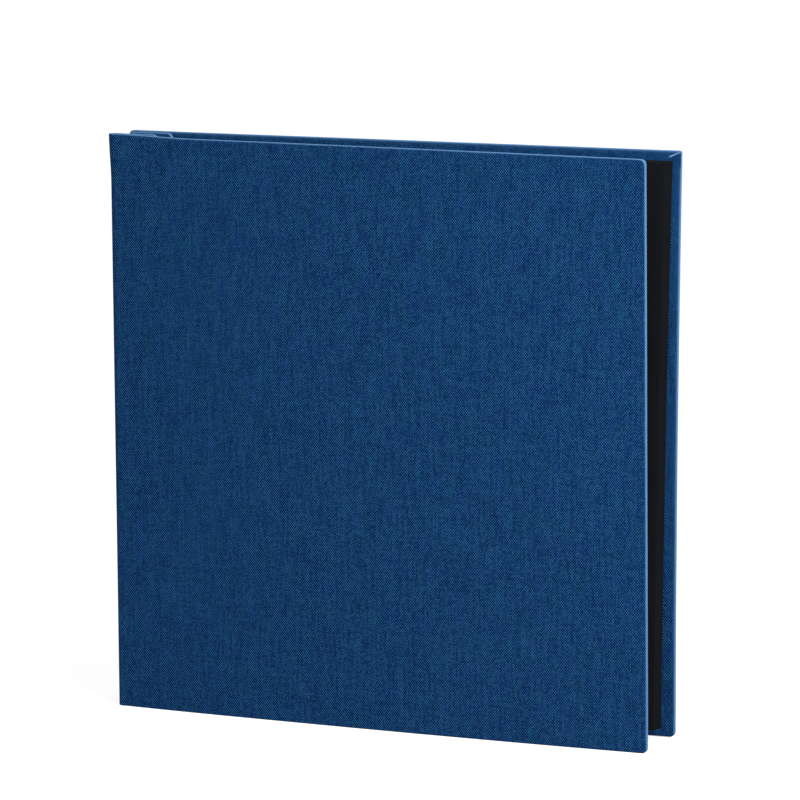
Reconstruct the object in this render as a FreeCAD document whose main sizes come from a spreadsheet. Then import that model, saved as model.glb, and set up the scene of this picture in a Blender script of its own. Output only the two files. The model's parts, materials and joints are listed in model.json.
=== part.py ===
"""Post-bound scrapbook album standing on its tail edges, front cover a few degrees ajar.

X runs from the spine to the fore edge, the front cover is on the -Y side and Z is up.
The origin is the middle of the footprint's box, on the surface that the album stands on.
"""
import FreeCAD
import Part
import Sketcher

import math
import os

SIZES = {
    "cover_width": 310.5,
    "cover_height": 313.0,
    "cover_board": 2.0,
    "cloth": 0.4,
    "turn_in": 15.0,
    "corner_radius": 3.0,
    "lining": 0.2,
    "lining_margin": 8.0,
    "flap_width": 28.0,
    "flap_board": 2.0,
    "flap_turn_in": 12.0,
    "flap_lining_margin": 3.0,
    "flap_gap": 1.6,
    "fold_leg": 1.0,
    "cover_open": 4.03,
    "leaf_count": 12,
    "leaf_pitch": 1.05,
    "leaf_thickness": 0.4,
    "leaf_width": 274.6,
    "leaf_height": 304.8,
    "leaf_lift": 5.6,
    "leaf_sag": 0.5,
    "first_leaf_share": 0.389,
    "stub_inset": 1.2,
    "score_offset": 2.5,
    "score_clearance": 0.8,
    "post_count": 3,
    "post_spacing": 108.0,
    "post_inset": 14.0,
    "post_diameter": 5.0,
    "post_clearance": 0.3,
    "post_bore": 3.4,
    "post_bore_depth": 12.0,
    "post_shortfall": 1.0,
    "post_head": 12.0,
    "post_head_thickness": 1.0,
    "screw_diameter": 2.8,
    "screw_length": 10.0,
    "screw_slot": 1.2,
    "screw_slot_depth": 0.4,
}

doc = FreeCAD.newDocument("Album")
sheet = doc.addObject("Spreadsheet::Sheet", "Sizes")
for row, (alias, number) in enumerate(SIZES.items(), start=1):
    sheet.set(f"A{row}", alias)
    sheet.set(f"B{row}", str(number))
    sheet.setAlias(f"B{row}", alias)
doc.recompute()

# Thicknesses of a cloth-covered board, and of the clamped leaf block
COVER = "(2 * Sizes.cloth + Sizes.cover_board + Sizes.lining)"
FLAP = "(2 * Sizes.cloth + Sizes.flap_board + Sizes.lining)"
BLOCK = "(Sizes.leaf_count * Sizes.leaf_pitch)"

# A cover and its flap are laid out from the fold's axis: the cover's outer face is one
# fold radius to one side of it, and the flap's leaf side one radius to the other
FOLD = f"(({COVER} + Sizes.flap_gap + {FLAP}) / 2)"
REACH = f"(Sizes.fold_leg + {FOLD} - Sizes.cloth / 2)"
COVER_END = f"({REACH} + Sizes.cover_width)"
FLAP_END = f"({REACH} + Sizes.flap_width)"
SCORE = f"({FLAP_END} + Sizes.score_offset)"
POST_X = f"({REACH} + Sizes.post_inset)"

# Places in the album's own frame
AXIS_X = f"(-({COVER_END} - Sizes.cloth / 2) / 2)"
AXIS_OUT = f"({BLOCK} / 2 + {FOLD})"
SWING = f"({COVER_END} * sin(Sizes.cover_open) + {FOLD} * cos(Sizes.cover_open))"
MIDDLE_Y = f"(({SWING} - {FOLD}) / 2)"
FRONT_AXIS_Y = f"({MIDDLE_Y} - {AXIS_OUT})"
BACK_AXIS_Y = f"({MIDDLE_Y} + {AXIS_OUT})"
BLOCK_FRONT_Y = f"({MIDDLE_Y} - {BLOCK} / 2)"
CLAMP_FRONT_Y = f"({BLOCK_FRONT_Y} - {FLAP})"
CLAMP_BACK_Y = f"({MIDDLE_Y} + {BLOCK} / 2 + {FLAP})"

Z_AXIS = FreeCAD.Vector(0, 0, 1)
X_AXIS = FreeCAD.Vector(1, 0, 0)
TOWARDS_FRONT = FreeCAD.Rotation(X_AXIS, 90)
TOWARDS_BACK = FreeCAD.Rotation(X_AXIS, -90)
ROUGH = 5.0

nodes = {}


def size(alias):
    """One driving size, as the sheet holds it."""
    return float(getattr(sheet, alias))


def bind(item, formulas):
    """Ties each property of an object to a formula on the sheet."""
    for prop, text in formulas.items():
        item.setExpression(prop, text)


def place(item, x="0", y="0", z="0", rotation=FreeCAD.Rotation()):
    """Turns an object, and ties its position to formulas."""
    item.Placement = FreeCAD.Placement(FreeCAD.Vector(), rotation)
    bind(item, {"Placement.Base.x": x, "Placement.Base.y": y, "Placement.Base.z": z})


def node(item, label):
    """Marks an object as one finished piece of the album."""
    item.Label = label
    nodes[label] = item
    return item


def post_height(index):
    """Height of a post above the table, counted from the lowest."""
    return f"Sizes.cover_height / 2 + ({index} - (Sizes.post_count - 1) / 2) * Sizes.post_spacing"


def upright_sketch(body, name, y):
    """A sketch that stands in the XZ plane of its body, at the given depth."""
    sketch = body.newObject("Sketcher::SketchObject", name)
    planes = {item.Role: item for item in body.Origin.OriginFeatures}
    sketch.AttachmentSupport = [(planes["XZ_Plane"], "")]
    sketch.MapMode = "FlatFace"
    bind(sketch, {"AttachmentOffset.Base.z": f"-({y})"})
    return sketch


def constrain(sketch, kind, *where, formula=None):
    """Adds a constraint, tied to a formula where it has a size."""
    numbers = list(where)
    if formula is not None:
        numbers.append(math.pi / 2 if kind == "Angle" else ROUGH)
    index = sketch.addConstraint(Sketcher.Constraint(kind, *numbers))
    if formula is not None:
        sketch.setExpression(f"Constraints[{index}]", formula)


def add_loop(sketch):
    """Four joined lines: the bottom, fore, top and spine side of a panel."""
    corners = [(0, 0), (ROUGH, 0), (ROUGH, ROUGH), (0, ROUGH)]
    for side in range(4):
        start = FreeCAD.Vector(*corners[side], 0)
        end = FreeCAD.Vector(*corners[(side + 1) % 4], 0)
        sketch.addGeometry(Part.LineSegment(start, end), False)
    for side in range(4):
        constrain(sketch, "Coincident", side, 2, (side + 1) % 4, 1)


def add_rectangle(sketch, x, z):
    """A rectangle between two formulas each way."""
    add_loop(sketch)
    for side in (0, 2):
        constrain(sketch, "Horizontal", side)
    for side in (1, 3):
        constrain(sketch, "Vertical", side)
    constrain(sketch, "DistanceX", -1, 1, 0, 1, formula=x[0])
    constrain(sketch, "DistanceX", -1, 1, 1, 1, formula=x[1])
    constrain(sketch, "DistanceY", -1, 1, 0, 1, formula=z[0])
    constrain(sketch, "DistanceY", -1, 1, 2, 1, formula=z[1])


def add_post_holes(sketch):
    """Holes that the posts pass through with a clearance all round."""
    for index in range(int(size("post_count"))):
        middle = FreeCAD.Vector(ROUGH / 2, ROUGH / 2 + index, 0)
        circle = sketch.addGeometry(Part.Circle(middle, Z_AXIS, ROUGH / 10), False)
        constrain(sketch, "DistanceX", -1, 1, circle, 3, formula=POST_X)
        constrain(sketch, "DistanceY", -1, 1, circle, 3, formula=post_height(index))
        radius = "Sizes.post_diameter / 2 + Sizes.post_clearance"
        constrain(sketch, "Radius", circle, formula=radius)


def pad(body, sketch, thickness):
    """Thickens an upright sketch towards the back."""
    feature = body.newObject("PartDesign::Pad", "Pad")
    feature.Profile = sketch
    feature.Reversed = True
    bind(feature, {"Length": thickness})
    sketch.Visibility = False
    doc.recompute()
    return feature


def round_fore_corners(body, feature, radius):
    """Rounds the two corners of a panel that lie furthest from its spine side."""
    fore = feature.Shape.BoundBox.XMax
    across = [
        f"Edge{index}"
        for index, edge in enumerate(feature.Shape.Edges, start=1)
        if edge.BoundBox.XMin > fore - 0.001 and edge.BoundBox.ZLength < 0.001
    ]
    fillet = body.newObject("PartDesign::Fillet", "Corners")
    fillet.Base = (feature, across)
    bind(fillet, {"Radius": radius})
    body.Tip = fillet
    doc.recompute()


def panel(name, x, y, z, radius=None, holes=False):
    """A flat panel, upright in the XZ plane, between two formulas along each axis."""
    body = doc.addObject("PartDesign::Body", name)
    sketch = upright_sketch(body, "Outline", y[0])
    add_rectangle(sketch, x, z)
    if holes:
        add_post_holes(sketch)
    feature = pad(body, sketch, f"({y[1]}) - ({y[0]})")
    if radius:
        round_fore_corners(body, feature, radius)
    return body


def post_bores(name, y):
    """The posts' holes as solids, to cut from a piece that isn't a single panel."""
    body = doc.addObject("PartDesign::Body", name)
    sketch = upright_sketch(body, "Outline", y[0])
    add_post_holes(sketch)
    pad(body, sketch, f"({y[1]}) - ({y[0]})")
    return body


def boolean(kind, name, base, tool):
    """One solid cut from another, or joined to it."""
    item = doc.addObject(kind, name)
    item.Base = base
    item.Tool = tool
    return item


def inset(distance):
    """Heights of a panel that stays the same distance from the head and the tail."""
    return distance, f"Sizes.cover_height - {distance}"


def covered_board(name, end, faces, board, turn_in, margin, holes):
    """A board in its cloth with its lining, upright from the fold's reach to its free end.

    faces are the formulas of the cloth side and the lined side; the cloth wraps the head,
    tail and free end, is turned in, and the lining covers the turn-ins up to its margin.
    """
    cloth_face, lined_face, way = faces
    board_face = f"({cloth_face} + {way} * Sizes.cloth)"
    turned_face = f"({board_face} + {way} * {board})"
    infill_face = f"({turned_face} + {way} * Sizes.cloth)"

    def between(first, last):
        """Depths in rising order."""
        return (first, last) if way == 1 else (last, first)

    height = inset("0")
    board_end = f"({end} - Sizes.cloth)"
    board_radius = "Sizes.corner_radius - Sizes.cloth"
    board_depth = between(board_face, turned_face)
    board_body = panel(
        f"{name}_board", (REACH, board_end), board_depth, inset("Sizes.cloth"), board_radius, holes
    )
    hollow = panel(
        f"{name}_hollow", (REACH, board_end), board_depth, inset("Sizes.cloth"), board_radius
    )
    wrap = panel(
        f"{name}_wrap", (REACH, end), between(cloth_face, infill_face), height,
        "Sizes.corner_radius", holes,
    )
    window_x = (REACH, f"({end} - {turn_in})")
    window_depth = between(turned_face, infill_face)
    window = panel(f"{name}_window", window_x, window_depth, inset(turn_in))
    tray = boolean("Part::Cut", f"{name}_tray", wrap, hollow)
    cloth = boolean("Part::Cut", f"{name}_cloth", tray, window)
    infill = panel(f"{name}_infill", window_x, window_depth, inset(turn_in))
    paper_x = (REACH, f"({end} - {margin})")
    paper = panel(f"{name}_paper", paper_x, between(infill_face, lined_face), inset(margin))
    lining = boolean("Part::Fuse", f"{name}_lining", paper, infill)
    lining.Refine = True
    if holes:
        bores = post_bores(f"{name}_bores", between(turned_face, lined_face))
        lining = boolean("Part::Cut", f"{name}_bored_lining", lining, bores)
    return {"board": board_body, "cloth": cloth, "lining": lining}


def cover(side, **where):
    """A cover: cloth on the outside, lining on the inside."""
    faces = (f"(-{FOLD})", f"({COVER} - {FOLD})", 1)
    pieces = covered_board(
        f"{side}_cover", COVER_END, faces, "Sizes.cover_board", "Sizes.turn_in",
        "Sizes.lining_margin", False,
    )
    for piece, item in pieces.items():
        place(node(item, f"{side}_cover_{piece}"), **where)


def flap(side, **where):
    """The hinge flap that is folded in under a cover, cloth against the leaves."""
    faces = (FOLD, f"({FOLD} - {FLAP})", -1)
    pieces = covered_board(
        f"{side}_flap", FLAP_END, faces, "Sizes.flap_board", "Sizes.flap_turn_in",
        "Sizes.flap_lining_margin", True,
    )
    for piece, item in pieces.items():
        place(node(item, f"{side}_flap_{piece}"), **where)


def fold_radius():
    """Outer radius of the cloth joint between a cover and its flap."""
    cloths = 4 * size("cloth") + 2 * size("lining")
    return (cloths + size("cover_board") + size("flap_board") + size("flap_gap")) / 2


def fold_edge(radius, opening):
    """One side of the cloth joint, seen from above, from the flap round to the cover."""
    turned = FreeCAD.Rotation(Z_AXIS, -opening)
    centre = FreeCAD.Vector(fold_radius() - size("cloth") / 2, 0, 0)
    far_centre = turned.multVec(centre)
    end = FreeCAD.Vector(centre.x + size("fold_leg"), radius, 0)
    far_end = turned.multVec(FreeCAD.Vector(end.x, -radius, 0))

    def spoke(angle):
        """A radius of the fold at an angle from the X axis."""
        return FreeCAD.Rotation(Z_AXIS, angle).multVec(FreeCAD.Vector(radius, 0, 0))

    back = 180 - opening / 2
    arc = Part.Arc(centre + spoke(90), centre + spoke((90 + back) / 2), centre + spoke(back))
    last = 270 - opening
    far_arc = Part.Arc(
        far_centre + spoke(back), far_centre + spoke((back + last) / 2), far_centre + spoke(last)
    )
    edges = [Part.makeLine(end, centre + spoke(90)), arc.toShape()]
    if opening > 0:
        edges.append(Part.makeLine(centre + spoke(back), far_centre + spoke(back)))
    edges += [far_arc.toShape(), Part.makeLine(far_centre + spoke(last), far_end)]
    return edges, end, far_end


def joint_cloth(side, opening, **where):
    """The cover cloth's run round the fold, from the flap's cloth to the cover's."""
    outer, outer_start, outer_end = fold_edge(fold_radius(), opening)
    inner, inner_start, inner_end = fold_edge(fold_radius() - size("cloth"), opening)
    ends = [Part.makeLine(outer_start, inner_start), Part.makeLine(outer_end, inner_end)]
    outline = Part.Wire(Part.__sortEdges__(outer + inner + ends))
    item = doc.addObject("Part::Feature", f"{side}_joint_cloth")
    item.Shape = Part.Face(outline).extrude(Z_AXIS * size("cover_height"))
    place(node(item, f"{side}_joint_cloth"), **where)


def cylinder(name, diameter, length, y, index, rotation):
    """A round piece on a post's line, from one depth towards the front or the back."""
    item = doc.addObject("Part::Cylinder", name)
    bind(item, {"Radius": f"{diameter} / 2", "Height": length})
    place(item, f"{AXIS_X} + {POST_X}", y, post_height(index), rotation)
    return item


def post(index):
    """A barrel post: a flat head on the back flap and a bored barrel through the leaves."""
    name = f"post_{index + 1:02d}"
    head_face = f"{CLAMP_BACK_Y} + Sizes.post_head_thickness"
    barrel_length = f"{BLOCK} + 2 * {FLAP} - Sizes.post_shortfall"
    mouth = f"{CLAMP_FRONT_Y} + Sizes.post_shortfall"
    head = cylinder(
        f"{name}_head", "Sizes.post_head", "Sizes.post_head_thickness", head_face, index,
        TOWARDS_FRONT,
    )
    barrel = cylinder(
        f"{name}_barrel", "Sizes.post_diameter", barrel_length, CLAMP_BACK_Y, index, TOWARDS_FRONT
    )
    bore = cylinder(
        f"{name}_bore", "Sizes.post_bore", "Sizes.post_bore_depth", mouth, index, TOWARDS_BACK
    )
    solid = boolean("Part::Fuse", f"{name}_solid", head, barrel)
    node(boolean("Part::Cut", name, solid, bore), name)


def post_screw(index):
    """The screw that closes a post: a slotted flat head on the front flap and a shank."""
    name = f"post_screw_{index + 1:02d}"
    head = cylinder(
        f"{name}_head", "Sizes.post_head", "Sizes.post_head_thickness", CLAMP_FRONT_Y, index,
        TOWARDS_FRONT,
    )
    shank = cylinder(
        f"{name}_shank", "Sizes.screw_diameter", "Sizes.screw_length", CLAMP_FRONT_Y, index,
        TOWARDS_BACK,
    )
    slot = doc.addObject("Part::Box", f"{name}_slot")
    bind(
        slot,
        {
            "Length": "Sizes.post_head",
            "Width": "Sizes.screw_slot_depth",
            "Height": "Sizes.screw_slot",
        },
    )
    place(
        slot, f"{AXIS_X} + {POST_X} - Sizes.post_head / 2",
        f"{CLAMP_FRONT_Y} - Sizes.post_head_thickness",
        f"{post_height(index)} - Sizes.screw_slot / 2",
    )
    solid = boolean("Part::Fuse", f"{name}_solid", head, shank)
    node(boolean("Part::Cut", name, solid, slot), name)


def leaf_share(index):
    """How far a leaf turns for each degree of the front cover, most for the first leaf."""
    count = size("leaf_count")
    return size("first_leaf_share") * (count - index) / count


def leaf(index):
    """One card leaf beyond its score line, sagging a little towards the fore edge."""
    body = doc.addObject("PartDesign::Body", f"leaf_{index + 1:02d}")
    sketch = upright_sketch(body, "Outline", "-Sizes.leaf_thickness / 2")
    add_loop(sketch)
    constrain(sketch, "Vertical", 3)
    constrain(sketch, "Parallel", 0, 2)
    constrain(sketch, "Perpendicular", 0, 1)
    constrain(sketch, "PointOnObject", 0, 1, -2)
    constrain(sketch, "DistanceY", -1, 1, 0, 1, formula="Sizes.leaf_lift")
    constrain(sketch, "Distance", 0, formula="Sizes.leaf_width")
    constrain(sketch, "Distance", 3, formula="Sizes.leaf_height")
    constrain(sketch, "Angle", 0, 1, 3, 2, formula="(90 + Sizes.leaf_sag) * 1 deg")
    pad(body, sketch, "Sizes.leaf_thickness")
    y = f"{BLOCK_FRONT_Y} + ({index} + 0.5) * Sizes.leaf_pitch"
    turned = FreeCAD.Rotation(Z_AXIS, -size("cover_open") * leaf_share(index))
    place(node(body, f"leaf_{index + 1:02d}"), f"{AXIS_X} + {SCORE}", y, rotation=turned)


def leaf_stub(index):
    """The clamped part of a leaf, folded double on the posts, up to its score line."""
    x = (f"({REACH} + Sizes.stub_inset)", f"({SCORE} - Sizes.score_clearance)")
    z = ("Sizes.leaf_lift", "Sizes.leaf_lift + Sizes.leaf_height")
    name = f"leaf_stub_{index + 1:02d}"
    body = panel(name, x, ("0", "Sizes.leaf_pitch"), z, None, True)
    place(node(body, name), AXIS_X, f"{BLOCK_FRONT_Y} + {index} * Sizes.leaf_pitch")


def build():
    """Makes every piece of the album."""
    ajar = FreeCAD.Rotation(Z_AXIS, -size("cover_open"))
    upturned = FreeCAD.Rotation(X_AXIS, 180)
    front = {"x": AXIS_X, "y": FRONT_AXIS_Y}
    back = {"x": AXIS_X, "y": BACK_AXIS_Y, "z": "Sizes.cover_height", "rotation": upturned}
    cover("front", rotation=ajar, **front)
    cover("back", **back)
    flap("front", **front)
    flap("back", **back)
    joint_cloth("front", size("cover_open"), **front)
    joint_cloth("back", 0, **back)
    for index in range(int(size("post_count"))):
        post(index)
        post_screw(index)
    for index in range(int(size("leaf_count"))):
        leaf(index)
        leaf_stub(index)
    doc.recompute()


def check():
    """Stops before writing if any object failed or any piece isn't one valid solid."""
    for item in doc.Objects:
        if {"Invalid", "Error"} & set(item.State):
            raise RuntimeError(f"{item.Label}: {item.State}")
    for label, item in nodes.items():
        shape = item.Shape
        if shape.isNull() or not shape.isValid() or len(shape.Solids) != 1:
            raise RuntimeError(f"{label}: not one valid solid")


def write():
    """Writes each piece to its own file."""
    os.makedirs("parts", exist_ok=True)
    for label, item in nodes.items():
        item.Shape.exportStep(f"parts/{label}.step")


build()
check()
write()
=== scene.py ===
"""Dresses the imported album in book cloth, black paper and card, as it stands in the photograph."""
import json
import math

import bmesh
import bpy
from mathutils import Matrix, Vector, noise


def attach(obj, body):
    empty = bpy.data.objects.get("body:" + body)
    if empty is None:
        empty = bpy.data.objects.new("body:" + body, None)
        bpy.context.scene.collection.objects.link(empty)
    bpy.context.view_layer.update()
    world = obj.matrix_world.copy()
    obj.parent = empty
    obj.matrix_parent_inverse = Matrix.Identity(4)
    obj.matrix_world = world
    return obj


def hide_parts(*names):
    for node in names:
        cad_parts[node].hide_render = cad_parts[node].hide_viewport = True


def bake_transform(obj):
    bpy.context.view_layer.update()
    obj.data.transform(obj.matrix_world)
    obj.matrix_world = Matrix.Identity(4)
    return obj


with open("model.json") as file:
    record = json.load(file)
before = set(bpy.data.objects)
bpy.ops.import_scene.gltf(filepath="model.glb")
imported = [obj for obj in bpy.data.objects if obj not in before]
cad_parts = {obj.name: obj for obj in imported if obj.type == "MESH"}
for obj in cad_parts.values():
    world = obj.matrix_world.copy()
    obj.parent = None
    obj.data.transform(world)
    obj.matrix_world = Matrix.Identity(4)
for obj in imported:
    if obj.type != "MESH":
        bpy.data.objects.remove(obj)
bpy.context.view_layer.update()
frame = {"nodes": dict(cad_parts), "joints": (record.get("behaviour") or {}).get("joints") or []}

MM = 0.001
HINGES = {joint["name"]: joint for joint in frame["joints"]}
AXIS_X = HINGES["front_cover_hinge"]["pos_m"][0]
FRONT_AXIS_Y = HINGES["front_cover_hinge"]["pos_m"][1]
BACK_AXIS_Y = HINGES["back_cover_hinge"]["pos_m"][1]
OPENING = -math.radians(HINGES["front_cover_hinge"]["range_deg"][0])

# Sizes of the album, the same as in the part's source
COVER_WIDTH, COVER_HEIGHT = 310.5 * MM, 313.0 * MM
COVER_THICK = 2.8 * MM
CLOTH = 0.4 * MM
PAPER = 0.2 * MM
TURN_IN, FLAP_TURN_IN = 15.0 * MM, 12.0 * MM
LINING_MARGIN, FLAP_LINING_MARGIN = 8.0 * MM, 3.0 * MM
CORNER = 3.0 * MM
FOLD = 3.8 * MM
FOLD_CENTRE = 3.6 * MM
REACH = 4.6 * MM
LEAF_COUNT = 12
LEAF_PITCH = 1.05 * MM
LEAF_THICK = 0.4 * MM
LEAF_WIDTH, LEAF_HEIGHT = 274.6 * MM, 304.8 * MM
LEAF_LIFT = 5.6 * MM
FIRST_LEAF_SHARE = 0.389
SCORE_FROM_AXIS = 35.1 * MM
SCORE_GAP = 0.8 * MM
STUB_INSET = 1.2 * MM
POST_INSET, POST_SPACING = 14.0 * MM, 108.0 * MM

# Where the photographed album departs from those sizes: its flaps are narrower and one corner
# is sharper, the covers belly and are askew, the leaves lean, and the folds spread and sink
FRONT_FLAP_WIDTH, BACK_FLAP_WIDTH = 21.0 * MM, 23.0 * MM
SHARP_CORNER = 1.2 * MM
FRONT_BELLY, BACK_BELLY = 3.0 * MM, 0.0 * MM
FRONT_TWIST, BACK_TWIST = math.radians(0.56), math.radians(1.7)
BACK_TWIST_LEVEL = 0.33
LEAF_CLEAR = math.radians(0.12)
LEAF_DROP, LEAF_RACK = math.radians(0.35), math.radians(0.6)
LEAF_SETTLE = math.radians(1.4)
HEAD_FLARE, HEAD_ROUND = 1.1 * MM, 1.0 * MM
FLARE_HEIGHT, FLARE_REACH = 26.0 * MM, 45.0 * MM
FOLD_RACK, FOLD_SINK, SINK_HEIGHT = 0.6 * MM, 2.2 * MM, 20.0 * MM
BACK_FLAP_RISE = 0.5 * MM
LEAF_TRIM_HEAD, LEAF_TRIM_TAIL = 0.9 * MM, 2.2 * MM
LEAF_TAIL_STEP = 0.12 * MM
LINING_SKEW = 1.3 * MM
TUCK_LENGTH, TUCK_RISE, TUCK_DEPTH = 6.2 * MM, 2.9 * MM, 9.0 * MM

# How edges, corners and folds are built
BLEND_REACH = 3.0 * MM
ARRIS = 0.7 * MM
TIGHT = 0.2 * MM
FAN = 6
ARC_STEPS = 4

# Camera, from the fit of the album's edges
FRAME_PIXELS = 800
FOCAL_PIXELS = 5611.0
SENSOR = 36.0
CAMERA_TURN, CAMERA_RISE = math.radians(21.743), math.radians(8.426)
CAMERA_ROLL = math.radians(-0.301)
CAMERA_DISTANCE = 2.99066
CAMERA_TARGET = Vector((0.009386, 0.0, 0.176979))

# Light
AMBIENT = 0.42
FLOOR_GLOW = 0.8
FLOOR_SIZE = 60.0
LAMP_PLACE, LAMP_TARGET = (1.05, -0.63, 1.02), (0, 0, 0.15)
LAMP_WIDTH, LAMP_POWER = 0.8, 26.0

# Colours: the cloth from the deepest gap to the top of a yarn, its rubbed edges with a painted highlight,
# and its frayed ones with a painted highlight
WEAVE_CONTRAST, WARP_CONTRAST, WEFT_CONTRAST, CELL_CONTRAST = 0.85, 0.4, 0.2, 0.25
CLOTH_STOPS = (
    (0.0, (0.0, 0.0008, 0.018)), (0.16, (0.0, 0.0018, 0.03)), (0.35, (0.0, 0.0105, 0.072)),
    (0.5, (0.001, 0.027, 0.118)), (0.71, (0.008, 0.066, 0.2)), (0.87, (0.018, 0.108, 0.28)),
    (1.0, (0.034, 0.158, 0.36)),
)
DYE_STOPS = ((0.3, (0.94, 0.90, 1.06)), (0.5, (1.0, 1.0, 1.0)), (0.7, (0.90, 1.10, 0.97)))
# The light edge colour is partly rub and partly a painted highlight where edges face the light. The
# near-white one is a painted highlight on the corner tucks' raised edges, partly pale frayed threads.
RUB_AND_HIGHLIGHT_COLOUR = (0.13, 0.30, 0.56, 1.0)
FRAY_AND_HIGHLIGHT_COLOUR = (0.55, 0.68, 0.82, 1.0)
FRAY_AND_HIGHLIGHT_START = 1.4
LINING_BLACK = (0.0035, 0.004, 0.0055), (0.009, 0.010, 0.013)
LEAF_BLACK = (0.0035, 0.004, 0.0055), (0.010, 0.011, 0.014)
BOARD_GREY = (0.12, 0.11, 0.095), (0.24, 0.22, 0.19)
BOARD_END = (0.006, 0.006, 0.008, 1.0)
METAL_STOPS = ((0.3, (0.42, 0.43, 0.45)), (0.7, (0.66, 0.67, 0.68)))


# Shapes

def steps(start, end, count):
    """Evenly spaced numbers from start to end, both included."""
    return [start + (end - start) * index / count for index in range(count + 1)]


def ease(value):
    """A smooth rise from 0 to 1."""
    value = min(max(value, 0.0), 1.0)
    return value * value * (3 - 2 * value)


def edge_loop(inset, corners, width, height, across, up):
    """Points round the head, fore edge and tail of a panel, each with its outward direction."""
    head, tail = (max(corner - inset, TIGHT) for corner in corners)
    right, top = width - inset, height - inset
    fan = [math.pi / 2 * index / FAN for index in range(1, FAN)]
    points = [(x, top, 0.0, 1.0) for x in steps(0.0, right - head, across)]
    for a in fan:
        x, z = right - head + head * math.sin(a), top - head + head * math.cos(a)
        points.append((x, z, math.sin(a), math.cos(a)))
    points += [(right, z, 1.0, 0.0) for z in steps(top - head, inset + tail, up)]
    for a in fan:
        x, z = right - tail + tail * math.cos(a), inset + tail - tail * math.sin(a)
        points.append((x, z, math.cos(a), -math.sin(a)))
    points += [(x, inset, 0.0, -1.0) for x in steps(right - tail, 0.0, across)]
    return points


def add_face(mesh, corners):
    """A face over the corners that differ."""
    kept = []
    for vertex in corners:
        if vertex not in kept:
            kept.append(vertex)
    if len(kept) > 2:
        mesh.faces.new(kept)


def finish_piece(name, mesh, material, smooth_below=40.0):
    """Turns the finished mesh into an object with its material."""
    bmesh.ops.recalc_face_normals(mesh, faces=mesh.faces)
    data = bpy.data.meshes.new(name)
    mesh.to_mesh(data)
    mesh.free()
    data.polygons.foreach_set("use_smooth", [True] * len(data.polygons))
    data.set_sharp_from_angle(angle=math.radians(smooth_below))
    data.materials.append(material)
    piece = bpy.data.objects.new(name, data)
    bpy.context.scene.collection.objects.link(piece)
    return piece


def highlight_by_direction(upward):
    """How much of the wear and painted highlight an edge gets: most at the head, where light from above is
    painted in, none at the tail.
    """
    return min(1.0, 1.0 + upward) + 0.3 * max(0.0, upward)


def shell(name, panel, outer, inner, where, material, cloth=(1.0, 0.0), more=None):
    """A thin closed piece from a field of squares and rings round its three free sides.

    panel is (width, height, corner radii, squares across, squares up). outer and inner list
    the rings from the field outwards: inset, depth, inset of the unfolded cloth, wear and painted
    highlight. more adds further closed shapes to the same piece.
    """
    width, height, corners, across, up = panel
    scale, start = cloth
    mesh = bmesh.new()
    layer = mesh.verts.layers.float_vector.new("cloth")

    def vertex(x, z, depth, u, v, wear_and_highlight):
        made = mesh.verts.new(where(x, z, depth))
        made[layer] = (start + scale * u, v, wear_and_highlight)
        return made

    sides = []
    for rings in (outer, inner):
        inset, depth, _, wear_and_highlight = rings[0]
        field = [
            [vertex(x, z, depth, x, z, wear_and_highlight) for z in steps(inset, height - inset, up)]
            for x in steps(0.0, width - inset, across)
        ]
        head, tail = [column[-1] for column in field], [column[0] for column in field]
        loops = [
            head + [head[-1]] * (FAN - 1) + field[-1][::-1] + [tail[-1]] * (FAN - 1) + tail[::-1]
        ]
        for inset, depth, flat, wear_and_highlight in rings[1:]:
            out = inset - flat
            loops.append([
                vertex(x, z, depth, x + nx * out, z + nz * out, wear_and_highlight * highlight_by_direction(nz))
                for x, z, nx, nz in edge_loop(inset, corners, width, height, across, up)
            ])
        sides.append((field, loops))
    for field, loops in sides:
        for i in range(across):
            for j in range(up):
                add_face(mesh, (field[i][j], field[i + 1][j], field[i + 1][j + 1], field[i][j + 1]))
        for near, far in zip(loops, loops[1:]):
            for k in range(len(near) - 1):
                add_face(mesh, (near[k], near[k + 1], far[k + 1], far[k]))
    (field_a, loops_a), (field_b, loops_b) = sides
    for j in range(up):
        add_face(mesh, (field_a[0][j], field_a[0][j + 1], field_b[0][j + 1], field_b[0][j]))
    for k in range(len(loops_a) - 1):
        for end in (0, -1):
            near, far = (loops_a[k][end], loops_a[k + 1][end]), (loops_b[k + 1][end], loops_b[k][end])
            add_face(mesh, near + far)
    last_a, last_b = loops_a[-1], loops_b[-1]
    for k in range(len(last_a) - 1):
        add_face(mesh, (last_a[k], last_a[k + 1], last_b[k + 1], last_b[k]))
    if more:
        more(mesh, vertex)
    return finish_piece(name, mesh, material)


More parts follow.
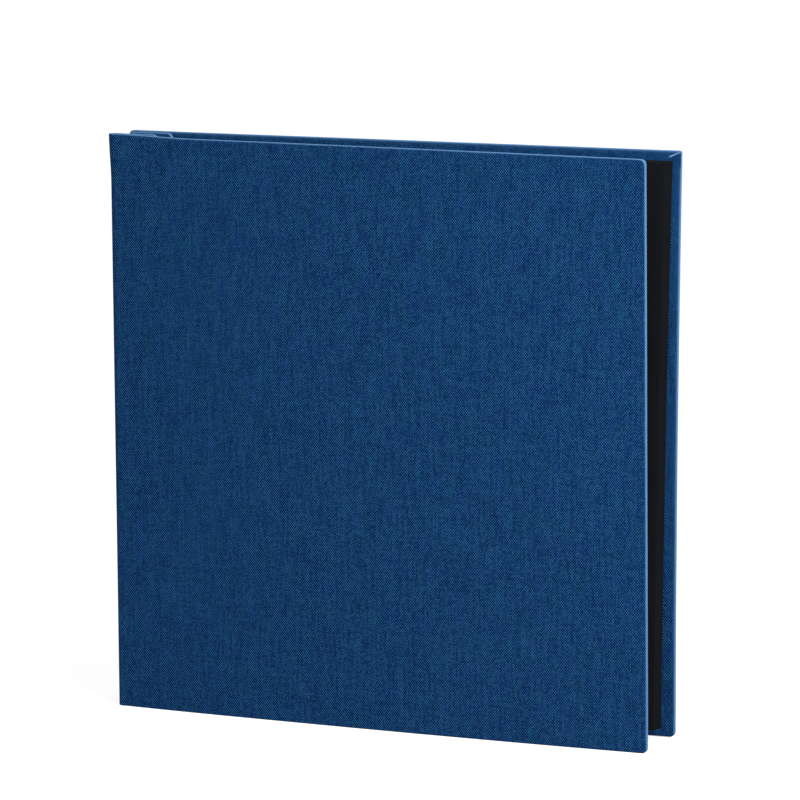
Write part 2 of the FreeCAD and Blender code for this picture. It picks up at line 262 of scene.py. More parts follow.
def wrapped(thick, turn_in, under):
    """Rings of a cloth from the face round the arrises to the turn-in; under is how far inside."""
    radius = ARRIS - under
    quarter = [math.pi / 2 * index / ARC_STEPS for index in range(ARC_STEPS + 1)]
    # The fourth value of each ring is wear and a painted highlight: it rises over the outer arris, is full
    # on the edge face the light falls on, drops over the inner arris, and is none on the face and turn-in.
    rings = [(inset, under, inset, wear_and_highlight) for inset, wear_and_highlight in
             ((9 * MM, 0.0), (4.5 * MM, 0.0), (2.4 * MM, 0.0), (1.2 * MM, 0.0))]
    for a in quarter:
        inset, depth = ARRIS - radius * math.sin(a), ARRIS - radius * math.cos(a)
        rings.append((inset, depth, ARRIS - ARRIS * a, math.sin(a) ** 2))
    flat = ARRIS - ARRIS * math.pi / 2 - (thick / 2 - ARRIS)
    rings.append((under - 0.03 * MM, thick / 2, flat, 1.0))
    flat -= thick / 2 - ARRIS
    for a in quarter:
        inset, depth = ARRIS - radius * math.cos(a), thick - ARRIS + radius * math.sin(a)
        rings.append((inset, depth, flat - ARRIS * a, 0.2 + 0.8 * math.cos(a) ** 2))
    flat -= ARRIS * math.pi / 2
    for inset, wear_and_highlight in ((1.2 * MM, 0.05), (2.4 * MM, 0.0), (5 * MM, 0.0), (turn_in, 0.0)):
        rings.append((inset, thick - under, flat - (inset - ARRIS), wear_and_highlight))
    return rings


def board_rings(near, far):
    """Rings of a plain board between two depths, its arrises a little rounded."""
    soft = 0.25 * MM
    outer, inner = [], []
    for inset, back in ((9 * MM, 0.0), (CLOTH + soft, 0.0), (CLOTH + 0.07 * MM, 0.07 * MM), (CLOTH, soft)):
        outer.append((inset, near + back, inset, 0.0))
        inner.append((inset, far - back, inset, 0.0))
    return outer, inner


def lining_rings(thick, turn_in, margin):
    """Rings of the lining paper, which shows the cloth's cut edge as a low step."""
    low, high = thick - CLOTH, thick
    outer, inner = [], []
    for inset, base in (
        (turn_in + 4 * MM, low), (turn_in + 1.1 * MM, low), (turn_in + 0.5 * MM, low + 0.1 * MM),
        (turn_in - 0.1 * MM, high - 0.08 * MM), (turn_in - 0.8 * MM, high), (margin + 0.3 * MM, high),
    ):
        outer.append((inset, base + PAPER, inset, 0.0))
        inner.append((inset, base, inset, 0.0))
    outer.append((margin, high + PAPER * 0.8, margin, 1.0))
    inner.append((margin, high, margin, 0.0))
    return outer, inner


def ripple(x, z):
    """The slight unevenness of a glued cover, fading out towards the spine side."""
    fade = ease(x / (12 * MM))
    broad = noise.noise(Vector((x * 14, z * 14, 0.3)))
    fine = noise.noise(Vector((x * 75, z * 75, 4.1)))
    return fade * (0.16 * MM * broad + 0.035 * MM * fine)


def head_flare(z):
    """How far the front fold's head spreads, where its cloth is turned in."""
    return HEAD_FLARE * ease((z - COVER_HEIGHT + FLARE_HEIGHT) / FLARE_HEIGHT)


def back_lean(level):
    """How far the back cover is turned out at a level, as a share of its twist."""
    return level * level - BACK_TWIST_LEVEL


def cover_rise(side, share, level):
    """How much a cover stands higher or lower than its board's true size."""
    if side < 0:
        return level * (0.25 + 2.2 * share * (1 - share)) * MM
    return (level * (1.0 - 1.6 * share) + 0.5 * (1 - level) * share) * MM


def cover_place(axis_y, side, opening, belly, twist):
    """Where a point of a cover goes: side is -1 for the front cover and 1 for the back one."""
    def where(x, z, depth):
        share = min(max(x / COVER_WIDTH, 0.0), 1.0)
        along = REACH + x
        y = depth - FOLD - 4 * belly * share * (1 - share) + ripple(x, z + side)
        level = z / COVER_HEIGHT
        lean = level - 0.5 if side < 0 else back_lean(level)
        turn = opening + twist * lean * ease(2.5 * share)
        turned_x = along * math.cos(turn) + y * math.sin(turn)
        turned_y = y * math.cos(turn) - along * math.sin(turn)
        rise = z + cover_rise(side, share, level)
        if side < 0:
            rise += head_flare(z) * (1 - ease(x / FLARE_REACH))
        return Vector((AXIS_X + turned_x, axis_y - side * turned_y, rise))
    return where


def corner_tucks(mesh, vertex, corners):
    """The folded cloth at both corners of a cover's turn-in: a layer with one raised edge."""
    width, height, high = COVER_WIDTH, COVER_HEIGHT, COVER_THICK
    for at_head, corner in ((True, corners[0]), (False, corners[1])):
        top, bottom = [], []
        start = max(0.1 * MM, 0.4 * corner - 0.4 * MM)
        for across in steps(0.0, 1.0, 8):
            upper, lower = [], []
            for down in (0.0, 0.07, 0.14, 0.5, 1.0):
                x = width - start - across * TUCK_LENGTH
                reach = across * TUCK_RISE + down * (TUCK_DEPTH - across * TUCK_RISE)
                z = height - start - reach if at_head else reach + start
                lift = CLOTH * (1 - down) * (0.7 + 0.3 * math.sin(9 * across)) + 0.02 * MM
                # Wear and a painted highlight along the raised edge, at the head corners only; past the
                # fray start it becomes the near-white painted highlight, partly pale frayed threads.
                wear_and_highlight = (1.6 + across) * max(0.0, 1 - down / 0.14) * at_head
                upper.append(vertex(x, z, high + lift * (0.6 if down == 0 else 1.0), x, z, wear_and_highlight))
                lower.append(vertex(x, z, high - CLOTH / 2, x, z, wear_and_highlight))
            top.append(upper)
            bottom.append(lower)
        last, end = len(top) - 1, len(top[0]) - 1
        for rows in (top, bottom):
            for i in range(last):
                for j in range(end):
                    add_face(mesh, (rows[i][j], rows[i + 1][j], rows[i + 1][j + 1], rows[i][j + 1]))
        for i in range(last):
            for j in (0, end):
                add_face(mesh, (top[i][j], top[i + 1][j], bottom[i + 1][j], bottom[i][j]))
        for j in range(end):
            for i in (0, last):
                add_face(mesh, (top[i][j], top[i][j + 1], bottom[i][j + 1], bottom[i][j]))


def cover(name, body, axis_y, side, opening, belly, twist):
    """A cover: its board, the cloth wrapped round it and the paper that lines it."""
    where = cover_place(axis_y, side, opening, belly, twist)

    def lining_where(x, z, depth):
        skew = LINING_SKEW * (1 - z / COVER_HEIGHT) * x / COVER_WIDTH
        return where(x - (skew if side > 0 else 0.0), z, depth)

    corners = (SHARP_CORNER if side > 0 else CORNER, CORNER)
    panel = (COVER_WIDTH, COVER_HEIGHT, corners, 62, 62)
    outer, inner = wrapped(COVER_THICK, TURN_IN, 0.0), wrapped(COVER_THICK, TURN_IN, CLOTH)
    cloth = shell(
        f"{name}_book_cloth", panel, outer, inner, where, book_cloth,
        more=lambda mesh, vertex: corner_tucks(mesh, vertex, corners),
    )
    outer, inner = board_rings(CLOTH, COVER_THICK - CLOTH)
    board = shell(f"{name}_grey_board", panel, outer, inner, where, grey_board)
    outer, inner = lining_rings(COVER_THICK, TURN_IN, LINING_MARGIN)
    lining = shell(f"{name}_black_lining", panel, outer, inner, lining_where, lining_paper)
    for piece, part, slot in (
        (cloth, "cloth", "book_cloth"), (board, "board", "grey_board"),
        (lining, "lining", "lining_paper"),
    ):
        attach(piece, body)
        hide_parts(f"{name}_{part}")


def flap(name, axis_y, side, width):
    """A hinge flap: its board, the cloth on the side of the leaves and the black lining."""
    def where(x, z, depth):
        lift = head_flare(z) if side > 0 else BACK_FLAP_RISE * z / COVER_HEIGHT
        return Vector((AXIS_X + REACH + x, axis_y + side * (FOLD - depth), z + lift))

    panel = (width, COVER_HEIGHT, (CORNER, CORNER), 6, 62)
    outer, inner = wrapped(COVER_THICK, FLAP_TURN_IN, 0.0), wrapped(COVER_THICK, FLAP_TURN_IN, CLOTH)
    joint_run = 2 * (REACH - FOLD_CENTRE) + math.pi * FOLD
    cloth = shell(f"{name}_book_cloth", panel, outer, inner, where, book_cloth, (-1.0, -joint_run))
    outer, inner = board_rings(CLOTH, COVER_THICK - CLOTH)
    board = shell(f"{name}_grey_board", panel, outer, inner, where, grey_board)
    outer, inner = lining_rings(COVER_THICK, FLAP_TURN_IN, FLAP_LINING_MARGIN)
    lining = shell(f"{name}_black_lining", panel, outer, inner, where, lining_paper)
    for piece, part, slot in (
        (cloth, "cloth", "book_cloth"), (board, "board", "grey_board"),
        (lining, "lining", "lining_paper"),
    ):
        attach(piece, "binding")
        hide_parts(f"{name}_{part}")


def head_round(z):
    """How far the back fold draws in at its head."""
    return HEAD_ROUND * (1 - math.sqrt(max(0.0, 1 - max(0.0, (z - COVER_HEIGHT) / HEAD_ROUND + 1) ** 2)))


def joint_section():
    """Section of the joint's cloth across its width: how far inside, height, wear and painted highlight.
    """
    fold = CLOTH
    half_turn = [math.pi * index / 6 for index in range(7)]
    # The head's turned edge gets wear and a painted highlight, the tail's none.
    head = [(fold - fold * math.cos(a), COVER_HEIGHT - fold + fold * math.sin(a), 0.7) for a in half_turn]
    tail = [(fold + fold * math.cos(a), fold - fold * math.sin(a), 0.0) for a in half_turn]
    low = TURN_IN - CLOTH
    points = [(0.0, z, 0.0) for z in steps(2 * MM, COVER_HEIGHT - 3 * MM, 60)]
    points += [(0.0, COVER_HEIGHT - d * MM, 0.0) for d in (2.4, 1.9, 1.4, 1.0, 0.7)]
    points += head + [(2 * CLOTH, COVER_HEIGHT - low, 0.0), (CLOTH, COVER_HEIGHT - low - 0.2 * MM, 0.0)]
    points += [(CLOTH, low + 0.2 * MM, 0.0), (2 * CLOTH, low, 0.0)] + tail
    return points


def joint_cloth(name, axis_y, side, opening):
    """The cloth's run round the fold, from the cover's cloth to the flap's."""
    legs = [(REACH, -1.0, 0.0), (FOLD_CENTRE + 0.5 * MM, -1.0, 0.0)]
    arc = [(FOLD_CENTRE, 0.0, math.pi * index / 20) for index in range(21)]
    path = legs + arc + [(x, 1.0, math.pi) for x, _, _ in legs[::-1]]
    mesh = bmesh.new()
    layer = mesh.verts.layers.float_vector.new("cloth")
    rows = []
    for x, leg, angle in path:
        run = REACH - x if leg < 0 else REACH - FOLD_CENTRE + FOLD * angle + (x - FOLD_CENTRE)
        in_fold = leg == 0
        row = []
        for inside, z, wear_and_highlight in joint_section():
            radius = FOLD - inside
            level = z / COVER_HEIGHT
            bulge = head_flare(z) + FOLD_RACK * (2 * level - 1) if side < 0 else -head_round(z)
            px = x - radius * math.sin(angle) if in_fold else x
            py = -radius * math.cos(angle)
            turn = opening * ease((BLEND_REACH - py) / (2 * BLEND_REACH))
            turned_x = px * math.cos(turn) + py * math.sin(turn)
            turned_y = py * math.cos(turn) - px * math.sin(turn)
            spread = math.sin(angle) * bulge if in_fold else 0.0
            near_flap = angle / math.pi
            rise = z + cover_rise(side, 0.0, level) * (1 - near_flap)
            if side < 0:
                rise += head_flare(z)
            else:
                rise += BACK_FLAP_RISE * level * near_flap
                sink = ease(2 * angle - 1.8) * ease((math.pi - angle) / 0.8)
                rise -= FOLD_SINK * sink * ease((z - COVER_HEIGHT) / SINK_HEIGHT + 1)
            vertex = mesh.verts.new((AXIS_X + turned_x - spread, axis_y - side * turned_y, rise))
            vertex[layer] = (-run, z, wear_and_highlight)
            row.append(vertex)
        rows.append(row)
    count = len(rows[0])
    for near, far in zip(rows, rows[1:]):
        for k in range(count):
            add_face(mesh, (near[k], near[(k + 1) % count], far[(k + 1) % count], far[k]))
    for row in (rows[0], rows[-1]):
        mesh.faces.new(row)
    piece = finish_piece(f"{name}_book_cloth", mesh, book_cloth, 50.0)
    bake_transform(piece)
    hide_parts(f"{name}_cloth")
    run = 2 * (REACH - FOLD_CENTRE) + math.pi * FOLD


def tail_trim(index):
    """How much a leaf is shorter at its tail: the front ones more."""
    return LEAF_TRIM_TAIL + LEAF_TAIL_STEP * (LEAF_COUNT - 1 - index)


def leaf(index):
    """A card leaf, joined to its clamped stub at the scored line."""
    name = f"leaf_{index + 1:02d}"
    turn = OPENING * FIRST_LEAF_SHARE * (LEAF_COUNT - index) / LEAF_COUNT
    middle = FRONT_AXIS_Y + FOLD + (index + 0.5) * LEAF_PITCH
    start = SCORE_GAP + 0.15 * MM
    width = LEAF_WIDTH + start
    settle = LEAF_SETTLE * (LEAF_COUNT - 1 - index) / (LEAF_COUNT - 1)

    def where(x, z, depth):
        along = x - start
        z += tail_trim(index)
        share = (along + SCORE_FROM_AXIS - REACH) / COVER_WIDTH
        lean = BACK_TWIST * back_lean((LEAF_LIFT + z) / COVER_HEIGHT) - LEAF_CLEAR
        lean = (lean + settle) * ease(2.5 * share) * ease(along / (30 * MM))
        bend = turn * ease((along + SCORE_GAP) / (2 * SCORE_GAP)) - lean
        wave = ease(along / (60 * MM)) * (
            0.3 * MM * noise.noise(Vector((x * 9, z * 7, 1.7)))
            + 0.05 * MM * noise.noise(Vector((x * 16, z * 16, index * 3.1)))
        )
        y = depth + wave
        rise = LEAF_LIFT + z - max(along, 0.0) * math.sin(LEAF_DROP)
        along += z * math.sin(LEAF_RACK) * max(along, 0.0) / LEAF_WIDTH
        turned_x = along * math.cos(bend) + y * math.sin(bend)
        turned_y = y * math.cos(bend) - along * math.sin(bend)
        return Vector((AXIS_X + SCORE_FROM_AXIS + turned_x, middle + turned_y, rise))

    half = LEAF_THICK / 2
    outer = [(6 * MM, -half, 0, 0), (0.3 * MM, -half, 0, 0.2), (0.0, -half * 0.5, 0, 1)]
    inner = [(6 * MM, half, 0, 0), (0.3 * MM, half, 0, 0.2), (0.0, half * 0.5, 0, 1)]
    panel = (width, LEAF_HEIGHT - LEAF_TRIM_HEAD - tail_trim(index), (0.0, 0.0), 40, 30)
    piece = shell(name + "_card", panel, outer, inner, where, leaf_card)
    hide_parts(name)
    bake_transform(piece)


def leaf_stub(index):
    """The clamped edge of a leaf, folded double round at the spine side."""
    name = f"leaf_stub_{index + 1:02d}"
    middle = FRONT_AXIS_Y + FOLD + (index + 0.5) * LEAF_PITCH
    spine = AXIS_X + REACH + STUB_INSET
    fore = AXIS_X + SCORE_FROM_AXIS - SCORE_GAP
    half, slit = 0.5 * MM, 0.03 * MM
    mesh = bmesh.new()
    layer = mesh.verts.layers.float_vector.new("cloth")
    outline = [(fore, half)]
    outline += [
        (spine + half - half * math.sin(a), half * math.cos(a))
        for a in [math.pi * k / 8 for k in range(9)]
    ]
    outline += [(fore, -half), (fore, -slit), (spine + half, -slit), (spine + half, slit), (fore, slit)]
    levels = steps(LEAF_LIFT + tail_trim(index), LEAF_LIFT + LEAF_HEIGHT - LEAF_TRIM_HEAD, 12)
    rows = []
    for z in levels:
        row = []
        for x, y in outline:
            shift = 0.12 * MM * noise.noise(Vector((z * 20, index * 2.3, 0.7)))
            vertex = mesh.verts.new((x + shift * (x < spine + MM), middle + y, z))
            vertex[layer] = (x - spine, z, 0.0)
            row.append(vertex)
        rows.append(row)
    count = len(outline)
    for near, far in zip(rows, rows[1:]):
        for k in range(count):
            add_face(mesh, (near[k], near[(k + 1) % count], far[(k + 1) % count], far[k]))
    for row in (rows[0], rows[-1]):
        mesh.faces.new(row)
    piece = finish_piece(name + "_card", mesh, leaf_card)
    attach(piece, "binding")
    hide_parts(name)


# Materials

def shader_node(tree, kind, inputs=None, **settings):
    """A node with its settings, and each input set to a value or linked to a socket."""
    made = tree.nodes.new(kind)
    for key, value in settings.items():
        setattr(made, key, value)
    for key, value in (inputs or {}).items():
        if isinstance(value, bpy.types.NodeSocket):
            tree.links.new(value, made.inputs[key])
        else:
            made.inputs[key].default_value = value
    return made


def calc(tree, operation, first, second=0.0, clamp=False):
    """One step of arithmetic on two values."""
    return shader_node(
        tree, "ShaderNodeMath", {0: first, 1: second}, operation=operation, use_clamp=clamp
    ).outputs[0]


def scaled(tree, value, factor, offset):
    """A value times a factor, plus an offset."""
    parts = {0: value, 1: factor, 2: offset}
    return shader_node(tree, "ShaderNodeMath", parts, operation="MULTIPLY_ADD").outputs[0]


def blend_colour(tree, share, first, second, mode="MIX"):
    """Two colours mixed by a share."""
    parts = {0: share, 6: first, 7: second}
    return shader_node(tree, "ShaderNodeMix", parts, data_type="RGBA", blend_type=mode).outputs[2]


def grain(tree, vector, scale, detail=2.0, roughness=0.5):
    """A noise value over a position."""
    values = {"Vector": vector, "Scale": scale, "Detail": detail, "Roughness": roughness}
    return shader_node(tree, "ShaderNodeTexNoise", values).outputs["Fac"]


def stretched(tree, vector, scales):
    """A position scaled by its own amount along each direction."""
    return shader_node(
        tree, "ShaderNodeVectorMath", {0: vector, 1: scales}, operation="MULTIPLY"
    ).outputs[0]


def new_group(name, inputs, outputs):
    """A shader node group with named inputs and outputs."""
    group = bpy.data.node_groups.new(name, "ShaderNodeTree")
    for label, kind, value in inputs:
        socket = group.interface.new_socket(label, in_out="INPUT", socket_type=kind)
        if value is not None:
            socket.default_value = value
    for label, kind in outputs:
        group.interface.new_socket(label, in_out="OUTPUT", socket_type=kind)
    return group, group.nodes.new("NodeGroupInput"), group.nodes.new("NodeGroupOutput")


def weave_group():
    """Plain weave: yarns over and under each other, each with its own shade, and uneven dye."""
    number, place = "NodeSocketFloat", "NodeSocketVector"
    group, given, result = new_group(
        "Plain weave",
        [("Position", place, None), ("Yarn across", number, 0.00068), ("Yarn along", number, 0.00079)],
        [("Relief", number), ("Warp shade", number), ("Weft shade", number),
         ("Crossing shade", number), ("Mottle", number)],
    )
    position = given.outputs["Position"]
    split = shader_node(group, "ShaderNodeSeparateXYZ", {0: position})
    waves, yarns = [], []
    for axis, pitch, size in (("X", "Yarn across", 430.0), ("Y", "Yarn along", 520.0)):
        drift = calc(group, "SUBTRACT", grain(group, position, size, 1.0), 0.5)
        turns = calc(group, "DIVIDE", split.outputs[axis], given.outputs[pitch])
        turns = calc(group, "ADD", turns, calc(group, "MULTIPLY", drift, 0.8))
        waves.append(calc(group, "SINE", calc(group, "MULTIPLY", turns, math.pi)))
        yarns.append(calc(group, "FLOOR", turns))
    over = calc(group, "MULTIPLY", waves[0], waves[1])
    relief = calc(group, "ADD", calc(group, "MULTIPLY", over, 1.2), 0.5, clamp=True)

    def along_yarn(number_across, run, shift):
        parts = {0: calc(group, "MULTIPLY", yarns[number_across], 7.31), 1: run, 2: shift}
        return grain(group, shader_node(group, "ShaderNodeCombineXYZ", parts).outputs[0], 1.0, 1.0)

    warp = along_yarn(0, calc(group, "MULTIPLY", split.outputs["Y"], 55.0), 0.3)
    weft = along_yarn(1, calc(group, "MULTIPLY", split.outputs["X"], 90.0), 5.7)
    pair = shader_node(group, "ShaderNodeCombineXYZ", {0: yarns[0], 1: yarns[1]}).outputs[0]
    crossing = shader_node(
        group, "ShaderNodeTexWhiteNoise", {"Vector": pair}, noise_dimensions="3D"
    ).outputs["Value"]
    mottle = grain(group, stretched(group, position, (1.0, 0.55, 0.0)), 130.0, 4.0, 0.55)
    shades = (relief, warp, weft, crossing, mottle)
    for socket, shade in zip(result.inputs, shades):
        group.links.new(shade, socket)
    return group


def paper_group():
    """The tooth and fibres of pressed paper."""
    number = "NodeSocketFloat"
    group, given, result = new_group(
        "Paper tooth",
        [("Position", "NodeSocketVector", None), ("Fineness", number, 1800.0)],
        [("Tooth", number), ("Fibre", number), ("Cloud", number)],
    )
    position = given.outputs["Position"]
    group.links.new(grain(group, position, given.outputs["Fineness"], 3.0, 0.65), result.inputs["Tooth"])
    warped = shader_node(
        group, "ShaderNodeVectorMath",
        {0: position, 1: shader_node(
            group, "ShaderNodeTexNoise", {"Vector": position, "Scale": 160.0, "Detail": 1.0}
        ).outputs["Color"], 2: (0.006, 0.006, 0.006)},
        operation="MULTIPLY_ADD",
    )
    swapped = stretched(group, warped.outputs[0], (300.0, 1500.0, 900.0))
    group.links.new(grain(group, swapped, 1.0, 1.0), result.inputs["Fibre"])
    group.links.new(grain(group, position, 22.0, 3.0), result.inputs["Cloud"])
    return group


def new_material(name):
    """An empty material and its shader."""
    material = bpy.data.materials.new(name)
    material.use_nodes = True
    tree = material.node_tree
    tree.nodes.clear()
    shader = tree.nodes.new("ShaderNodeBsdfPrincipled")
    out = tree.nodes.new("ShaderNodeOutputMaterial")
    tree.links.new(shader.outputs[0], out.inputs[0])
    return material, tree, shader


def ramp(tree, value, stops):
    """A colour for each step of a value."""
    made = shader_node(tree, "ShaderNodeValToRGB", {0: value})
    elements = made.color_ramp.elements
    while len(elements) < len(stops):
        elements.new(0.5)
    for element, (place, colour) in zip(elements, stops):
        element.position = place
        element.color = (*colour, 1.0)
    return made.outputs[0]


def bumped(tree, shader, height, distance, strength=1.0):
    """Raises the surface by a height value."""
    made = shader_node(
        tree, "ShaderNodeBump", {"Height": height, "Distance": distance, "Strength": strength}
    )
    tree.links.new(made.outputs[0], shader.inputs["Normal"])


def make_book_cloth():
    """Blue cotton book cloth in plain weave, lighter where it goes over an edge, from rub and a painted
    highlight.
    """
    material, tree, shader = new_material("Blue book cloth")
    position = shader_node(tree, "ShaderNodeAttribute", attribute_name="cloth").outputs["Vector"]
    weave = tree.nodes.new("ShaderNodeGroup")
    weave.node_tree = weave_group()
    tree.links.new(position, weave.inputs["Position"])
    relief, warp, weft, crossing, mottle = weave.outputs
    shade = calc(tree, "MULTIPLY", calc(tree, "SUBTRACT", relief, 0.5), WEAVE_CONTRAST)
    for source, amount in ((warp, WARP_CONTRAST), (weft, WEFT_CONTRAST), (crossing, CELL_CONTRAST)):
        part = calc(tree, "MULTIPLY", calc(tree, "SUBTRACT", source, 0.5), amount)
        shade = calc(tree, "ADD", shade, part)
    shade = calc(tree, "ADD", shade, 0.5, clamp=True)
    colour = ramp(tree, shade, CLOTH_STOPS)
    colour = blend_colour(tree, 1.0, colour, ramp(tree, mottle, DYE_STOPS), "MULTIPLY")
    # The cloth attribute's third value is wear and painted highlight: it mixes in the light edge colour,
    # and past the fray start the near-white painted highlight.
    wear_and_highlight = shader_node(tree, "ShaderNodeSeparateXYZ", {0: position}).outputs["Z"]
    rub_and_highlight_mix = calc(tree, "MULTIPLY", wear_and_highlight, scaled(tree, relief, 0.35, 0.55), clamp=True)
    colour = blend_colour(tree, rub_and_highlight_mix, colour, RUB_AND_HIGHLIGHT_COLOUR)
    fray_and_highlight = calc(tree, "SUBTRACT", wear_and_highlight, FRAY_AND_HIGHLIGHT_START, clamp=True)
    colour = blend_colour(tree, fray_and_highlight, colour, FRAY_AND_HIGHLIGHT_COLOUR)
    tree.links.new(colour, shader.inputs["Base Color"])
    tree.links.new(scaled(tree, relief, -0.12, 0.78), shader.inputs["Roughness"])
    shader.inputs["Specular IOR Level"].default_value = 0.04
    shader.inputs["Sheen Weight"].default_value = 0.1
    shader.inputs["Sheen Roughness"].default_value = 0.3
    shader.inputs["Sheen Tint"].default_value = (0.62, 0.8, 1.0, 1.0)
    height = calc(tree, "ADD", relief, calc(tree, "MULTIPLY", warp, 0.8))
    bumped(tree, shader, height, 0.00010, 0.6)
    return material


def make_paper(name, shades, roughness, depth, black_end=False):
    """Paper, card or board with a fine tooth and stray fibres; its spine end may be near-black."""
    material, tree, shader = new_material(name)
    position = tree.nodes.new("ShaderNodeTexCoord").outputs["Object"]
    paper = tree.nodes.new("ShaderNodeGroup")
    paper.node_tree = paper_tooth
    tree.links.new(position, paper.inputs["Position"])
    tooth, fibre, cloud = (paper.outputs[k] for k in ("Tooth", "Fibre", "Cloud"))
    strand = calc(tree, "MULTIPLY", calc(tree, "SUBTRACT", fibre, 0.62), 4.0, clamp=True)
    value = scaled(tree, tooth, 0.5, calc(tree, "MULTIPLY", cloud, 0.5))
    value = calc(tree, "ADD", value, calc(tree, "MULTIPLY", strand, 0.35), clamp=True)
    colour = ramp(tree, value, ((0.25, shades[0]), (0.85, shades[1])))
    if black_end:
        along = shader_node(tree, "ShaderNodeSeparateXYZ", {0: position}).outputs["X"]
        at_end = calc(tree, "LESS_THAN", along, AXIS_X + REACH + 0.4 * MM)
        colour = blend_colour(tree, at_end, colour, BOARD_END)
    tree.links.new(colour, shader.inputs["Base Color"])
    tree.links.new(scaled(tree, tooth, 0.15, roughness), shader.inputs["Roughness"])
    shader.inputs["Specular IOR Level"].default_value = 0.06
    bumped(tree, shader, calc(tree, "ADD", tooth, strand), depth, 0.6)
    return material


def make_post_metal():
    """Turned aluminium: fine rings round each post's own line."""
    material, tree, shader = new_material("Turned aluminium")
    position = tree.nodes.new("ShaderNodeTexCoord").outputs["Object"]
    split = shader_node(tree, "ShaderNodeSeparateXYZ", {0: position})
    across = calc(tree, "SUBTRACT", split.outputs["X"], AXIS_X + REACH + POST_INSET)
    level = calc(tree, "SUBTRACT", split.outputs["Z"], COVER_HEIGHT / 2 - 1.5 * POST_SPACING)
    level = calc(tree, "MODULO", level, POST_SPACING)
    up = calc(tree, "SUBTRACT", level, POST_SPACING / 2)
    squares = calc(tree, "MULTIPLY", across, across), calc(tree, "MULTIPLY", up, up)
    distance = calc(tree, "SQRT", calc(tree, "ADD", *squares))
    rings = grain(tree, shader_node(tree, "ShaderNodeCombineXYZ", {0: distance}).outputs[0], 9000.0, 2.0)
    tree.links.new(ramp(tree, rings, METAL_STOPS), shader.inputs["Base Color"])
    tree.links.new(scaled(tree, rings, 0.25, 0.2), shader.inputs["Roughness"])
    shader.inputs["Metallic"].default_value = 1.0
    bumped(tree, shader, rings, 0.00001, 0.5)
    return material


# The stage

def add_camera():
    """A camera that sees the album as the photograph does."""
    turn, rise, roll = CAMERA_TURN, CAMERA_RISE, CAMERA_ROLL
    back = Vector((math.sin(turn) * math.cos(rise), -math.cos(turn) * math.cos(rise), math.sin(rise)))
    right = Vector((math.cos(turn), math.sin(turn), 0.0))
    up = back.cross(right)
    rolled_right = right * math.cos(roll) + up * math.sin(roll)
    rolled_up = up * math.cos(roll) - right * math.sin(roll)
    data = bpy.data.cameras.new("Camera")
    data.sensor_width = SENSOR
    data.lens = FOCAL_PIXELS / FRAME_PIXELS * SENSOR
    data.clip_start, data.clip_end = 0.1, 100.0
    camera = bpy.data.objects.new("Camera", data)
    axes = Matrix((rolled_right, rolled_up, back)).transposed().to_4x4()
    camera.matrix_world = Matrix.Translation(CAMERA_TARGET + back * CAMERA_DISTANCE) @ axes
    bpy.context.scene.collection.objects.link(camera)
    bpy.context.scene.camera = camera


def add_lamp(name, place, target, width, power):
    """A square soft lamp that shines at a point."""
    data = bpy.data.lights.new(name, "AREA")
    data.shape = "SQUARE"
    data.size = width
    data.energy = power
    lamp = bpy.data.objects.new(name, data)
    lamp.location = place
    lamp.rotation_euler = (Vector(target) - Vector(place)).to_track_quat("-Z", "Y").to_euler()
    bpy.context.scene.collection.objects.link(lamp)


def seen_directly(tree):
    """1 for rays straight from the camera or by way of gloss or glass."""
    path = tree.nodes.new("ShaderNodeLightPath")
    seen = calc(tree, "MAXIMUM", path.outputs["Is Camera Ray"], path.outputs["Is Glossy Ray"])
    return calc(tree, "MAXIMUM", seen, path.outputs["Is Transmission Ray"])


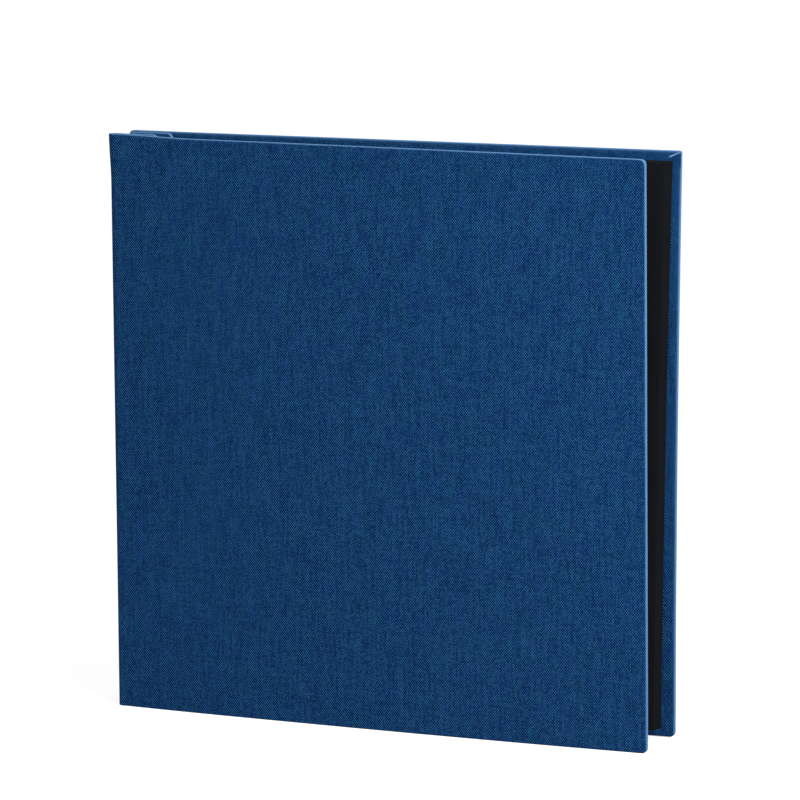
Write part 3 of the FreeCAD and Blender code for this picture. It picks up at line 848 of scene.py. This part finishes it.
def add_world():
    """A white room: plain for the camera, at the ambient level for the object."""
    world = bpy.data.worlds.new("Studio")
    world.use_nodes = True
    tree = world.node_tree
    tree.nodes.clear()
    strength = scaled(tree, seen_directly(tree), 1.0 - AMBIENT, AMBIENT)
    lit = shader_node(tree, "ShaderNodeBackground", {"Color": (1, 1, 1, 1), "Strength": strength})
    out = tree.nodes.new("ShaderNodeOutputWorld")
    tree.links.new(lit.outputs[0], out.inputs[0])
    bpy.context.scene.world = world


def add_floor():
    """A pale floor out to the horizon, white to the camera where no shadow falls."""
    mesh = bmesh.new()
    half = FLOOR_SIZE / 2
    corners = ((-half, -half), (half, -half), (half, half), (-half, half))
    mesh.faces.new([mesh.verts.new((x, y, 0)) for x, y in corners])
    material, tree, shader = new_material("Pale floor")
    shader.inputs["Base Color"].default_value = (0.5, 0.5, 0.5, 1)
    shader.inputs["Roughness"].default_value = 0.9
    shader.inputs["Specular IOR Level"].default_value = 0.0
    shader.inputs["Emission Color"].default_value = (1, 1, 1, 1)
    glow = calc(tree, "MULTIPLY", seen_directly(tree), FLOOR_GLOW)
    tree.links.new(glow, shader.inputs["Emission Strength"])
    floor = finish_piece("Floor", mesh, material)


book_cloth = make_book_cloth()
paper_tooth = paper_group()
lining_paper = make_paper("Black lining paper", LINING_BLACK, 0.72, 0.00002)
leaf_card = make_paper("Black leaf card", LEAF_BLACK, 0.8, 0.00003)
grey_board = make_paper("Grey board", BOARD_GREY, 0.8, 0.00006, black_end=True)
post_metal = make_post_metal()

cover("front_cover", "front_cover", FRONT_AXIS_Y, -1, OPENING, FRONT_BELLY, FRONT_TWIST)
cover("back_cover", "back_cover", BACK_AXIS_Y, 1, 0.0, BACK_BELLY, BACK_TWIST)
flap("front_flap", FRONT_AXIS_Y, 1, FRONT_FLAP_WIDTH)
flap("back_flap", BACK_AXIS_Y, -1, BACK_FLAP_WIDTH)
joint_cloth("front_joint", FRONT_AXIS_Y, -1, OPENING)
joint_cloth("back_joint", BACK_AXIS_Y, 1, 0.0)

for number in range(LEAF_COUNT):
    leaf(number)
    leaf_stub(number)

for label, item in frame["nodes"].items():
    if label.startswith("post_"):
        item.data.materials.clear()
        item.data.materials.append(post_metal)

add_world()
add_floor()
add_lamp("Key lamp", LAMP_PLACE, LAMP_TARGET, LAMP_WIDTH, LAMP_POWER)
add_camera()

scene = bpy.context.scene
scene.view_settings.view_transform = "Standard"
